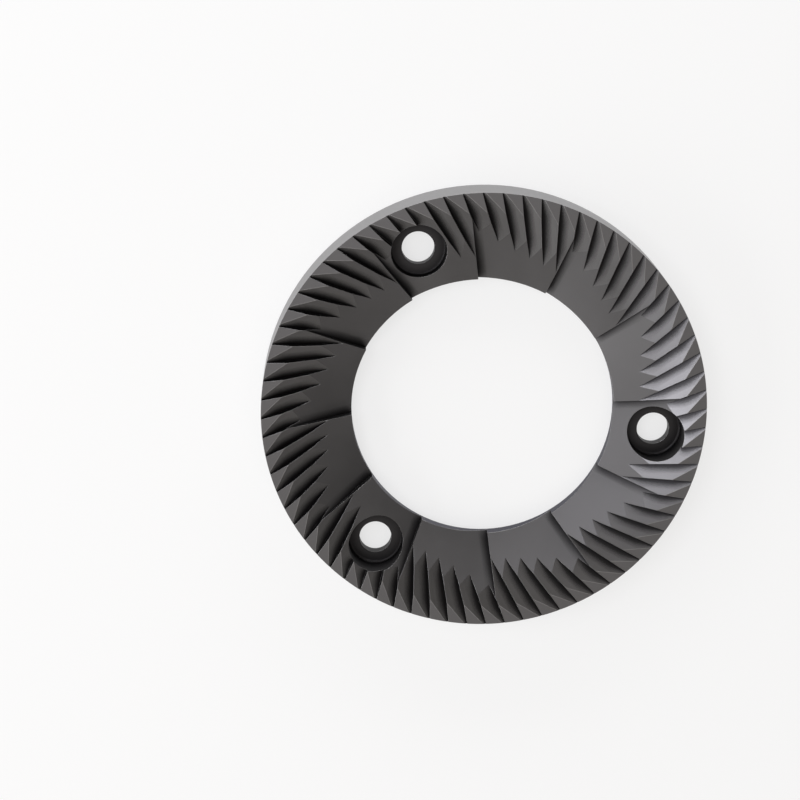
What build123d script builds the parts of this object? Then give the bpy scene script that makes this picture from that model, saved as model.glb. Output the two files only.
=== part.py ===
from build123d import *
from math import cos, radians, sin, tan
import os

# Flat coffee grinder burr: one hardened steel ring with cutting teeth on its front face.
# The origin is at the centre of the flat back face, and +Z points from the back to the teeth.
# Angles run counter-clockwise seen from the front, in degrees from +X. Lengths are in millimetres.

# Ring
outer_diameter = 64.0
ring_width = 13.0
ring_height = 7.2
rim_back_chamfer = 0.3
bore_back_chamfer = 2.0

# Fixing holes, counterbored from the front for screw heads
hole_count = 3
hole_circle_inset = 0.3
hole_diameter = 4.7
hole_back_chamfer = 1.0
head_recess_diameter = 8.0
head_recess_depth = 4.5
head_recess_corner_radius = 0.35
first_hole_angle = 107.8

# Breakers: ramps that fall towards the bore, each ending in an upright step
breaker_count = 12
first_step_angle = 0.0
step_rim_distance = 3.5
step_lean = 3.0
ramp_rim_distance = 7.0
ramp_depth = 1.0
ramp_slope = 20.6
ramp_end_depth = 1.96
ramp_end_slope = 25.3

# Fine teeth: one lopsided V groove between each pair of lands
teeth_per_breaker = 6
first_groove_angle = 1.95
groove_lean = 17.0
groove_fall = 10.2
facet_angle = 20.1
wall_lean = 17.0
rim_notch_depth = 0.12

# How far the cuts run past the solid that they cut
cut_overrun = 1.0

outer_radius = outer_diameter / 2
bore_radius = outer_radius - ring_width
hole_circle_radius = (outer_radius + bore_radius) / 2 - hole_circle_inset
step_radius = outer_radius - step_rim_distance
breaker_angle = 360 / breaker_count
tooth_count = breaker_count * teeth_per_breaker


def step_plane(angle):
    """Upright plane of the step that starts the breaker at this angle, facing that breaker."""
    outward = Vector(1, 0, 0).rotate(Axis.Z, angle)
    across = Vector(0, 1, 0).rotate(Axis.Z, angle + step_lean)
    return Plane(origin=outward * step_radius, x_dir=(0, 0, 1), z_dir=across)


def ramp_corners(depth, slope):
    """Corners of the space above a ramp's line along a step, as heights and distances along it."""
    rise = tan(radians(slope))
    inner = step_rim_distance - ring_width - cut_overrun
    outer = step_rim_distance
    outer_height = ring_height - depth + ramp_rim_distance * rise
    inner_height = outer_height - (outer - inner) * rise
    cut_top = ring_height + ring_width
    return (inner_height, inner), (outer_height, outer), (cut_top, outer), (cut_top, inner)


# Breaker cut: the space above a ramp that is straight along every line from the bore to the rim.
# The ramp is highest at its own step, and grows deeper and steeper on the way to the next one
with BuildPart() as breaker_cut:
    with BuildSketch(step_plane(0)) as own_step:
        Polygon(*ramp_corners(ramp_depth, ramp_slope), align=None)
    with BuildSketch(step_plane(breaker_angle)):
        Polygon(*ramp_corners(ramp_end_depth, ramp_end_slope), align=None)
    loft(ruled=True)
    extrude(own_step.sketch, amount=-cut_overrun)

# Groove cut: a V with a long shallow facet and a short steep wall, falling from the rim to the bore
lean = radians(groove_lean)
fall = radians(groove_fall)
groove_plane = Plane(
    origin=(outer_radius, 0, ring_height - rim_notch_depth),
    x_dir=(sin(lean), -cos(lean), 0),
    z_dir=(-cos(lean) * cos(fall), -sin(lean) * cos(fall), -sin(fall)),
)
groove_height = rim_notch_depth + ring_width * tan(fall) + cut_overrun
with BuildPart() as groove_cut:
    with BuildSketch(groove_plane.offset(-cut_overrun)):
        with BuildLine():
            Polyline(
                (0, 0),
                (groove_height / tan(radians(facet_angle)), groove_height),
                (-groove_height * tan(radians(wall_lean)), groove_height),
                close=True,
            )
        make_face()
    extrude(amount=cut_overrun + ring_width)

with BuildPart() as grinding_burr:
    with BuildSketch():
        Circle(outer_radius)
        Circle(bore_radius, mode=Mode.SUBTRACT)
    extrude(amount=ring_height)
    back_edges = faces().sort_by(Axis.Z)[0].edges().sort_by(SortBy.RADIUS)
    chamfer(back_edges[0], bore_back_chamfer)
    chamfer(back_edges[-1], rim_back_chamfer)
    with PolarLocations(0, breaker_count, start_angle=first_step_angle):
        add(breaker_cut.part, mode=Mode.SUBTRACT)
    with PolarLocations(0, tooth_count, start_angle=first_groove_angle):
        add(groove_cut.part, mode=Mode.SUBTRACT)
    with Locations((0, 0, ring_height)):
        with PolarLocations(hole_circle_radius, hole_count, start_angle=first_hole_angle):
            CounterBoreHole(hole_diameter / 2, head_recess_diameter / 2, head_recess_depth)
    hole_edges = faces().sort_by(Axis.Z)[0].edges().sort_by(SortBy.RADIUS)[:hole_count]
    chamfer(hole_edges, hole_back_chamfer)
    recess_floor = ring_height - head_recess_depth
    floor_edges = edges().filter_by(GeomType.CIRCLE).filter_by_position(Axis.Z, recess_floor, recess_floor)
    fillet(floor_edges.sort_by(SortBy.RADIUS)[-hole_count:], head_recess_corner_radius)

grinding_burr.part.label = "grinding_burr"
os.makedirs("parts", exist_ok=True)
export_step(grinding_burr.part, "parts/grinding_burr.step")
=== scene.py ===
# %% [markdown]
# # A coffee grinder burr
#
# The burr is one ring of hardened steel. Its front face carries twelve breaker ramps and seventy-two
# fine teeth, three counterbored holes take the screws that hold it, and a dark coating covers it all.
# The CAD solid already has every one of those shapes. What is left for Blender is what the eye reads
# as steel: edges that are not infinitely sharp, a satin coating, lathe and grinding marks, and the light.

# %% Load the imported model
import math

import bmesh
import bpy
from mathutils import Matrix, Vector


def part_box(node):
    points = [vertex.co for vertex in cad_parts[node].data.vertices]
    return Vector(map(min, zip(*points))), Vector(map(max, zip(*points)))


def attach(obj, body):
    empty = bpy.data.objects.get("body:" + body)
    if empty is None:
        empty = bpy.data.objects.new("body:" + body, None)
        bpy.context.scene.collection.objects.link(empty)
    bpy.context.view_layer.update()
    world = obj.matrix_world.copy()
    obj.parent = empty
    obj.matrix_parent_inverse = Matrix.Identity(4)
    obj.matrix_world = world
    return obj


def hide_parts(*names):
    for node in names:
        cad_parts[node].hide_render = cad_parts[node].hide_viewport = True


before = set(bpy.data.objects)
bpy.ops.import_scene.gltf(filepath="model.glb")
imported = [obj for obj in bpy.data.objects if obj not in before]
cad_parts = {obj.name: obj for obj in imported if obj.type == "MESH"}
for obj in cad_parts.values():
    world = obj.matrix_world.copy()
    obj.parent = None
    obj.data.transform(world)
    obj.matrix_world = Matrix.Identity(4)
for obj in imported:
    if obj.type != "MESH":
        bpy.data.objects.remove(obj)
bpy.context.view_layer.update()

MM = 0.001
scene = bpy.context.scene
scene.view_settings.view_transform = "Standard"
burr_low, burr_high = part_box("grinding_burr")
print("burr measures in mm:", [round(side / MM, 2) for side in burr_high - burr_low])

# %% [markdown]
# ## The camera
#
# The burr lies on its flat back, so the camera looks down on the toothed face. It stands a little to the
# side of straight above, which is why a sliver of the outer wall shows at the top and upper left of the
# ring. A camera can be aimed with a Track To constraint, but that takes its upright from the world's Z
# axis, and here Z points almost into the lens. A matrix built from the three axes of the picture leaves
# no doubt.

# %% Camera
camera_place = Vector((-15.669, 84.208, 310.632)) * MM
looking = Vector((0.01193, -0.25846, -0.96595)).normalized()
picture_up = Vector((0.07583, 0.96347, -0.25686)).normalized()
picture_right = looking.cross(picture_up)

camera_data = bpy.data.cameras.new("camera")
camera_data.sensor_width = 36.0
camera_data.lens = 99.0
camera_data.clip_start = 10 * MM
camera_data.clip_end = 10.0
camera = bpy.data.objects.new("camera", camera_data)
scene.collection.objects.link(camera)
turn = Matrix((picture_right, picture_up, -looking)).transposed().to_4x4()
camera.matrix_world = Matrix.Translation(camera_place) @ turn
scene.camera = camera
print("camera height in mm:", round(camera_place.z / MM, 1), "lens:", camera_data.lens)

# %% [markdown]
# ## Two helpers for materials
#
# Colours are easiest to pick as the hex values that a paint program shows, but a shader calculates in
# linear light, so one function converts them. The other function adds a node, gives it its settings and
# joins its inputs, so that each line below reads like one step of the recipe. Some nodes have inputs with
# the same name, or with names that depend on a setting, and those are given by number instead: _0, _1.

# %% Helpers
def linear(hex_colour):
    """Linear RGBA of an sRGB hex colour."""
    channels = [int(hex_colour[i:i + 2], 16) / 255 for i in (1, 3, 5)]
    return [c / 12.92 if c <= 0.04045 else ((c + 0.055) / 1.055) ** 2.4 for c in channels] + [1.0]


def add_node(tree, kind, settings=None, **inputs):
    """Adds a node, sets its properties, and fills its inputs with values or links them to sockets."""
    node = tree.nodes.new(kind)
    for name, value in (settings or {}).items():
        setattr(node, name, value)
    for name, value in inputs.items():
        socket = node.inputs[int(name[1:]) if name[1:].isdigit() else name.replace("_", " ")]
        if isinstance(value, bpy.types.NodeSocket):
            tree.links.new(value, socket)
        else:
            socket.default_value = value
    return node


warm_white = linear("#fffaf4")
print("warm white in linear light:", [round(channel, 3) for channel in warm_white[:3]])

# %% [markdown]
# ## The floor
#
# A studio table is a sheet of white board that runs out of the picture on every side. A plain white
# floor would fall to grey where the lamps are weak, so most of what the camera sees of it is a steady
# glow. The rest is an ordinary matt surface, which keeps the soft shadow that seats the burr. Glossy and
# transmission rays see the same mix, so the steel mirrors the table that is really there. The other way
# to a white background is to cut the burr out of the picture, but then it would float without a shadow.

# %% Floor
floor_gap = 0.02 * MM
floor_reach = 4.0
floor_shape = bmesh.new()
bmesh.ops.create_grid(floor_shape, x_segments=1, y_segments=1, size=floor_reach)
bmesh.ops.translate(floor_shape, verts=floor_shape.verts, vec=(0, 0, burr_low.z - floor_gap))
floor_mesh = bpy.data.meshes.new("floor")
floor_shape.to_mesh(floor_mesh)
floor_shape.free()
floor = bpy.data.objects.new("floor", floor_mesh)
scene.collection.objects.link(floor)
print("floor at z in mm:", round((burr_low.z - floor_gap) / MM, 3))

# %% White board
# Matt coated card: an even white with no highlight of its own.
glow_amount = 0.7
white_board = bpy.data.materials.new("white_board")
white_board.use_nodes = True
tree = white_board.node_tree
tree.nodes.clear()
light_path = add_node(tree, "ShaderNodeLightPath")
seen = add_node(tree, "ShaderNodeMath", {"operation": "MAXIMUM"},
                _0=light_path.outputs["Is Camera Ray"], _1=light_path.outputs["Is Glossy Ray"])
seen = add_node(tree, "ShaderNodeMath", {"operation": "MAXIMUM"},
                _0=seen.outputs[0], _1=light_path.outputs["Is Transmission Ray"])
glow_share = add_node(tree, "ShaderNodeMath", {"operation": "MULTIPLY"},
                      _0=seen.outputs[0], _1=glow_amount)
matt = add_node(tree, "ShaderNodeBsdfDiffuse", Color=linear("#fafafa"))
glow = add_node(tree, "ShaderNodeEmission", Color=linear("#ffffff"), Strength=1.0)
mixed = add_node(tree, "ShaderNodeMixShader",
                 _0=glow_share.outputs[0], _1=matt.outputs[0], _2=glow.outputs[0])
add_node(tree, "ShaderNodeOutputMaterial", Surface=mixed.outputs[0])
floor_mesh.materials.append(white_board)
print("white board glows by a share of", glow_amount)

# %% [markdown]
# ## Light
#
# Satin metal shows what stands around it, so the lamps matter as much as the coating. A small key lamp
# hangs high on the upper left of the picture. Two wide softboxes stand low on the left and at the top:
# the facets that lean towards them turn pale and those that lean away stay dark, which is what makes the
# teeth readable. A weak one overhead and another low in front keep the ramps from going black. The world
# is dim and even, and only fills the shadows. One sky picture could do all this, but lamps with names can
# be moved and dimmed one by one.

# %% Lamps
def softbox(name, azimuth, elevation, distance, width, height, strength, colour):
    """A flat lamp that looks at the burr. Strength is its brightness, where 1 is white."""
    data = bpy.data.lights.new(name, "AREA")
    data.shape = "RECTANGLE"
    data.size = width
    data.size_y = height
    data.energy = strength * math.pi * width * height
    data.color = linear(colour)[:3]
    lamp = bpy.data.objects.new(name, data)
    around, up = math.radians(azimuth), math.radians(elevation)
    out = distance * math.cos(up)
    lamp.location = (out * math.cos(around), out * math.sin(around), distance * math.sin(up))
    lamp.rotation_euler = (-lamp.location).to_track_quat("-Z", "Y").to_euler()
    scene.collection.objects.link(lamp)
    print(name, "energy in W:", round(data.energy, 3))


# Name, azimuth and elevation in degrees, distance, width and height in metres, strength, colour
for lamp in (
    ("key_lamp", 138, 62, 0.50, 0.25, 0.20, 3.7, "#f4f5fd"),
    ("left_lamp", 190, 20, 0.50, 0.62, 0.30, 2.8, "#ffffff"),
    ("top_lamp", 90, 13, 0.50, 0.66, 0.22, 4.2, "#ffffff"),
    ("overhead_lamp", 270, 78, 0.55, 0.50, 0.50, 0.8, "#fffaf4"),
    ("front_lamp", 268, 11, 0.50, 0.60, 0.18, 1.0, "#fffaf4"),
):
    softbox(*lamp)

# %% World
world_strength = 0.2
world = bpy.data.worlds.new("studio")
scene.world = world
world.use_nodes = True
tree = world.node_tree
tree.nodes.clear()
dim = add_node(tree, "ShaderNodeBackground", Color=warm_white, Strength=world_strength)
add_node(tree, "ShaderNodeOutputWorld", Surface=dim.outputs[0])
print("world strength:", world_strength)

# %% [markdown]
# ## The steel ring and its true corners
#
# On the real burr the teeth are ground sharp, but the coating still leaves a hair-thin round on the
# corners, taken here as two hundredths of a millimetre, and that is what catches the light. The CAD mesh
# comes as separate patches that only touch, so at a corner a bevel would find open borders and no edge to
# round. A copy is merged first, and the CAD normals say which edges are true corners and which only divide
# a curved wall into strips. A Bevel modifier with an angle limit could do the same, but some of those
# strips bend as sharply as a corner, and it can't tell the two apart. The copy also gets one empty number
# per face for each kind of finish and for each patch of painted shade, reflection or highlight, which is
# filled in further down. It has to come first, because a new layer on the faces makes Blender forget the
# faces that a script has picked out.

# %% Copy and merge the mesh
burr_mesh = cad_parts["grinding_burr"].data.copy()
burr_mesh.name = "burr_ring"
cad_normals = burr_mesh.attributes.new("cad_normal", "FLOAT_VECTOR", "CORNER")
for corner, normal in zip(cad_normals.data, burr_mesh.corner_normals):
    corner.vector = normal.vector

ring = bmesh.new()
ring.from_mesh(burr_mesh)
finish_and_shade_masks = ("ground_groove", "recess_painted_shade", "turned_wall_and_sheen", "turned_bore", "ground_back", "worn_edge_and_highlight")
for name in finish_and_shade_masks:
    ring.faces.layers.float.new(name)
merge_reach = 0.002 * MM
bmesh.ops.remove_doubles(ring, verts=ring.verts, dist=merge_reach)
print("merged to", len(ring.verts), "vertices and", len(ring.edges), "edges")

# %% Find the true corners
corner_limit = 2
cad_normal = ring.loops.layers.float_vector["cad_normal"]


def corner_angle(edge):
    """Angle between the CAD surfaces that meet at an edge, in degrees."""
    one, other = edge.link_loops
    return math.degrees(one[cad_normal].angle(other.link_loop_next[cad_normal], 0.0))


corner_edges = [edge for edge in ring.edges if corner_angle(edge) > corner_limit]
for edge in corner_edges:
    edge.smooth = False
print(len(corner_edges), "edges are true corners")

# %% [markdown]
# ## Rounded corners
#
# Flat triangles are joined into whole facets first, so that a bevel runs along a tooth in one go. Then
# all corners of more than 15 degrees are rounded in one bevel with two faces each. Blunter ones hardly
# catch the light and stay as they are. One call for all of them matters, because the rounds that meet at
# the tip of a tooth can only be joined neatly when Blender sees them together. The clamp keeps rounds from
# running into each other, but one edge that is too short for them narrows the whole bevel.

# %% Join flat triangles
flat_angle = 0.05
bmesh.ops.dissolve_limit(
    ring, angle_limit=math.radians(flat_angle), use_dissolve_boundaries=False,
    verts=ring.verts, edges=ring.edges, delimit={"SHARP"},
)
ring.normal_update()
print("joined to", len(ring.faces), "faces")

# %% Round the corners
edge_round = 0.02 * MM
sharp_angle = 15
to_round = [edge for edge in corner_edges
            if edge.is_valid and math.degrees(edge.calc_face_angle()) > sharp_angle]
edge_faces = set(bmesh.ops.bevel(
    ring, geom=to_round, offset=edge_round, offset_type="OFFSET", segments=2,
    profile=0.5, affect="EDGES", clamp_overlap=True, material=-1,
)["faces"])
for face in ring.faces:
    face.smooth = True
ring.normal_update()
print("rounded", len(to_round), "edges with", len(edge_faces), "faces,", len(ring.faces), "faces in all")

# %% [markdown]
# ## Which tool made each face
#
# One coating covers the burr, but it lies on faces that different tools left behind. The grooves are
# ground and have the best polish. The screw recesses are milled, and their film is painted nearly black:
# painted shade for the light that can't reach into them. The walls are turned on a lathe. The rim gets a
# paler film, a painted reflection of the white table that it mirrors at a grazing view, and the bore a
# darker, bluish one. The corners that stand out are worn a little brighter, and that paler film is partly
# a painted highlight on the rounds. A material can't see that, so each face carries it as a number, an
# attribute that is 1 on the faces of that kind. Faces could be picked by hand in edit mode, but their
# tilt and place already tell them apart.

# %% Tell the grooves
facet_tilts, facet_bearings = (19, 26), (120, 150)
side_tilts, side_bearings = (60, 82), (230, 320)


def tilt_and_bearing(face):
    """How far a face leans from level, and where to, counted from straight outwards, in degrees."""
    middle = face.calc_center_median()
    outwards = math.atan2(middle.y, middle.x)
    bearing = math.degrees(math.atan2(face.normal.y, face.normal.x) - outwards) % 360
    return math.degrees(face.normal.angle(Vector((0, 0, 1)))), bearing


def in_groove(face):
    """Whether a face is the long facet or the steep side of a groove."""
    tilt, bearing = tilt_and_bearing(face)
    return any(
        tilts[0] < tilt < tilts[1] and bearings[0] < bearing < bearings[1]
        for tilts, bearings in ((facet_tilts, facet_bearings), (side_tilts, side_bearings))
    )


print("faces in the grooves:", sum(in_groove(face) for face in ring.faces))

# %% Tell the recesses
screw_circle = 25.2 * MM
recess_reach = 4.1 * MM
first_screw_angle, screw_count = 107.8, 3
screw_spacing = 360 / screw_count
screw_angles = [math.radians(first_screw_angle + screw_spacing * number) for number in range(screw_count)]
screw_axes = [screw_circle * Vector((math.cos(angle), math.sin(angle))) for angle in screw_angles]


def in_recess(face):
    """Whether all of a face lies round one of the screw axes."""
    return any(
        all((vert.co.xy - axis).length < recess_reach for vert in face.verts) for axis in screw_axes
    )


print("screw axes in mm:", [[round(part / MM, 2) for part in axis] for axis in screw_axes])

# %% Tell the walls, the back and the worn corners
steep_tilt, off_radial = 40, 8
below_lands = 7.15 * MM
bore_reach = 24.0 * MM
back_height, facing_down = 0.1 * MM, -0.99


def on_turned_wall(face):
    """Whether a steep face outside the recesses looks straight out or straight in."""
    tilt, bearing = tilt_and_bearing(face)
    turned_off = min(bearing % 180, 180 - bearing % 180)
    low_enough = face.calc_center_median().z < below_lands
    return tilt > steep_tilt and turned_off < off_radial and low_enough and not in_recess(face)


def on_bore(face):
    return on_turned_wall(face) and face.calc_center_median().xy.length < bore_reach


def on_back(face):
    return face.normal.z < facing_down and face.calc_center_median().z < back_height


def on_raised_round(face):
    """Whether a face is part of a round that stands out, not of one in a hollow."""
    return face in edge_faces and sum(edge.calc_face_angle_signed() for edge in face.edges) > 0


print("faces on the back:", sum(on_back(face) for face in ring.faces))

# %% Mark the faces
tests = (in_groove, in_recess, on_turned_wall, on_bore, on_back, on_raised_round)
for name, test in zip(finish_and_shade_masks, tests):
    layer = ring.faces.layers.float[name]
    passed = [face for face in ring.faces if test(face)]
    for face in passed:
        face[layer] = 1.0
    area = sum(face.calc_area() for face in passed)
    print(name, "on", len(passed), "faces,", round(area / MM ** 2, 1), "mm2")

# %% [markdown]
# ## The finished ring
#
# The bmesh goes back into a mesh, and the object takes the place of the CAD node, which stays untouched.
# A corner round of two faces would look faceted, and plain smooth shading would bend the large flat
# facets. Weighted normals let the large faces keep their direction, so only the rounds bend the light.

# %% Make the piece
ring.to_mesh(burr_mesh)
ring.free()
burr_mesh.attributes.remove(burr_mesh.attributes["cad_normal"])
burr = bpy.data.objects.new("burr_ring", burr_mesh)
scene.collection.objects.link(burr)
weighted = burr.modifiers.new("weighted_normals", "WEIGHTED_NORMAL")
weighted.keep_sharp = True
weighted.weight = 100
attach(burr, "root")
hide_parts("grinding_burr")
print("burr has", len(burr_mesh.polygons), "faces")

# %% [markdown]
# ## Coated tool steel
#
# The coating is a hard, dark grey film, a few thousandths of a millimetre thick, over steel that was
# turned, milled and ground. It shines like metal, but softly, because the film follows the fine
# roughness below it. The recipe starts from a faintly clouded grey and lays the tone of each finish over
# it, where the faces say so. Some of these tones are painted shade, reflection or highlight, as told at
# each one. One material for each finish could do that too, but then the clouds and the grain would have to
# be built several times over.

# %% Coating
# Tool steel with a hard dark film: the eye gets a soft metallic shine and no clear mirror image.
coating = bpy.data.materials.new("coated_tool_steel")
coating.use_nodes = True
tree = coating.node_tree
tree.nodes.clear()
place = add_node(tree, "ShaderNodeTexCoord").outputs["Object"]
groove, recess_shade, wall, bore, back, worn_and_highlight = [
    add_node(tree, "ShaderNodeAttribute", {"attribute_name": name}).outputs["Fac"] for name in finish_and_shade_masks
]

cloud_size = 7 * MM
film_dark, film_light = "#686768", "#727172"
cloud = add_node(tree, "ShaderNodeTexNoise",
                 Vector=place, Scale=1 / cloud_size, Detail=3.0, Roughness=0.5).outputs["Fac"]
film = add_node(tree, "ShaderNodeMix", {"data_type": "RGBA"},
                _0=cloud, _6=linear(film_dark), _7=linear(film_light)).outputs[2]
# Painted reflection: the pale wall tone lightens the outer rim for the white table it mirrors at a grazing
# view.
# Painted shade: the recess tone makes the screw recesses nearly black, for the light that can't reach
# them.
# Partly painted highlight: the pale tone on the raised rounds is edge wear and also stands in for the
# highlight they catch.
tones = (groove, "#7f7e7f"), (wall, "#999899"), (bore, "#4c4b54"), (recess_shade, "#3d3c3d"), (worn_and_highlight, "#999899")
for share, tone in tones:
    film = add_node(tree, "ShaderNodeMix", {"data_type": "RGBA"},
                    _0=share, _6=film, _7=linear(tone)).outputs[2]
print("film is laid in", len(tree.nodes), "nodes")

# %% [markdown]
# ## Painted shade in the hollows, and gloss
#
# The feet of the grooves and of the steps are darkened in the colour to nearly black. This is painted
# shade: it stands for the shadow that the walls cast into those hollows. The Ambient Occlusion node tells
# how open each spot is within a short reach, so it finds those hollows without painting them by hand. A
# power sharpens the change, most of all in the grooves. The ground facets and the worn corners are
# glossier than the ramps, so a share is taken off their roughness.

# %% Painted shade in the hollows, and gloss
hollow_reach = 1.4 * MM
# Painted shade: the colour goes towards this tone in the hollows, for the shadow that falls there.
painted_shade_tone = "#2f2e2f"
ramp_power, groove_power = 3.2, 13.0
openness = add_node(tree, "ShaderNodeAmbientOcclusion", {"samples": 8, "only_local": True},
                    Distance=hollow_reach)
power = add_node(tree, "ShaderNodeMapRange", Value=groove, To_Min=ramp_power, To_Max=groove_power)
unshaded_share = add_node(tree, "ShaderNodeMath", {"operation": "POWER"},
                  _0=openness.outputs["AO"], _1=power.outputs[0])
colour = add_node(tree, "ShaderNodeMix", {"data_type": "RGBA"},
                  _0=unshaded_share.outputs[0], _6=linear(painted_shade_tone), _7=film).outputs[2]

film_smooth, film_rough = 0.48, 0.54
groove_change, worn_change = -0.18, -0.15
roughness = add_node(tree, "ShaderNodeMapRange", Value=cloud, From_Min=0.3, From_Max=0.7,
                     To_Min=film_smooth, To_Max=film_rough).outputs[0]
for share, change in ((groove, groove_change), (worn_and_highlight, worn_change)):
    roughness = add_node(tree, "ShaderNodeMath", {"operation": "MULTIPLY_ADD"},
                         _0=share, _1=change, _2=roughness).outputs[0]
print("hollows are looked for within", hollow_reach / MM, "mm")

# %% [markdown]
# ## Tool marks
#
# Each tool leaves its own fine lines: rings round the turned walls, straight strokes on the back, and
# lines along each groove. They are far too shallow to model, so a noise pattern stretched in the
# direction of the cut tilts the normals a little through a Bump node. Everything else has a fine grain.
# Real marks are a few hundredths of a millimetre apart, and all of these are drawn coarser, so that they
# show in the picture.

# %% Grain, lathe lines and strokes
grain_size = 0.15 * MM
grain = add_node(tree, "ShaderNodeTexNoise",
                 Vector=place, Scale=1 / grain_size, Detail=2.0, Roughness=0.6)

# Squeezing the coordinates along the cut draws the noise out into lines.
lathe_pitch, lathe_squeeze = 0.25 * MM, 0.02
round_walls = add_node(tree, "ShaderNodeMapping",
                       Vector=place, Scale=(lathe_squeeze, lathe_squeeze, 1.0))
lathe = add_node(tree, "ShaderNodeTexNoise",
                 Vector=round_walls.outputs[0], Scale=1 / lathe_pitch, Detail=2.0)

stroke_pitch, stroke_squeeze = 0.30 * MM, 0.03
along_strokes = add_node(tree, "ShaderNodeMapping", Vector=place, Scale=(stroke_squeeze, 1.0, 1.0))
strokes = add_node(tree, "ShaderNodeTexNoise",
                   Vector=along_strokes.outputs[0], Scale=1 / stroke_pitch, Detail=2.0)
print("lathe lines", lathe_pitch / MM, "mm apart, strokes", stroke_pitch / MM, "mm apart")

# %% [markdown]
# ## Lines along the grooves
#
# The grinding wheel runs along each groove, and the grooves lean 17 degrees from straight outwards, so
# these lines turn with the angle round the ring. Polar coordinates give that: the angle tells which line
# a spot is on, the distance from the middle tells how far along it is, and the lean ties the two.

# %% Wheel lines
line_pitch, line_length = 0.18 * MM, 6 * MM
middle_radius = 27 * MM
groove_lean = math.radians(17)
axes = add_node(tree, "ShaderNodeSeparateXYZ", Vector=place)
angle = add_node(tree, "ShaderNodeMath", {"operation": "ARCTAN2"},
                 _0=axes.outputs["Y"], _1=axes.outputs["X"])
level_place = add_node(tree, "ShaderNodeCombineXYZ", X=axes.outputs["X"], Y=axes.outputs["Y"])
radius = add_node(tree, "ShaderNodeVectorMath", {"operation": "LENGTH"},
                  _0=level_place.outputs[0]).outputs["Value"]
leaned = add_node(tree, "ShaderNodeMath", {"operation": "MULTIPLY"},
                  _0=radius, _1=-math.tan(groove_lean))
across = add_node(tree, "ShaderNodeMath", {"operation": "MULTIPLY_ADD"},
                  _0=angle.outputs[0], _1=middle_radius, _2=leaned.outputs[0])
stretched = add_node(tree, "ShaderNodeMath", {"operation": "MULTIPLY"},
                     _0=radius, _1=line_pitch / line_length)
along_groove = add_node(tree, "ShaderNodeCombineXYZ", X=across.outputs[0], Y=stretched.outputs[0])
wheel = add_node(tree, "ShaderNodeTexNoise",
                 Vector=along_groove.outputs[0], Scale=1 / line_pitch, Detail=1.0)
print("groove lines", line_pitch / MM, "mm apart and about", line_length / MM, "mm long")

# %% [markdown]
# ## The coating put together
#
# The lines of each tool take over from the grain where the faces say so, and a Bump node turns the
# heights into tilted normals. One Principled shader takes the colour, the roughness and those normals. It
# is all metal, because the coating shines the way metals do. Displacement could cut the marks into the
# mesh itself, but lines this fine would need far more faces than the burr has.

# %% Put the coating together
mark_depth = 0.005 * MM
height = grain.outputs["Fac"]
for share, pattern in ((wall, lathe), (back, strokes), (groove, wheel)):
    height = add_node(tree, "ShaderNodeMix", _0=share, _2=height, _3=pattern.outputs["Fac"]).outputs[0]
relief = add_node(tree, "ShaderNodeBump", Height=height, Distance=mark_depth, Strength=1.0)
steel = add_node(tree, "ShaderNodeBsdfPrincipled", Base_Color=colour, Roughness=roughness,
                 Normal=relief.outputs[0], Metallic=1.0)
add_node(tree, "ShaderNodeOutputMaterial", Surface=steel.outputs[0])
burr_mesh.materials.clear()
burr_mesh.materials.append(coating)
print("coating has", len(tree.nodes), "nodes")
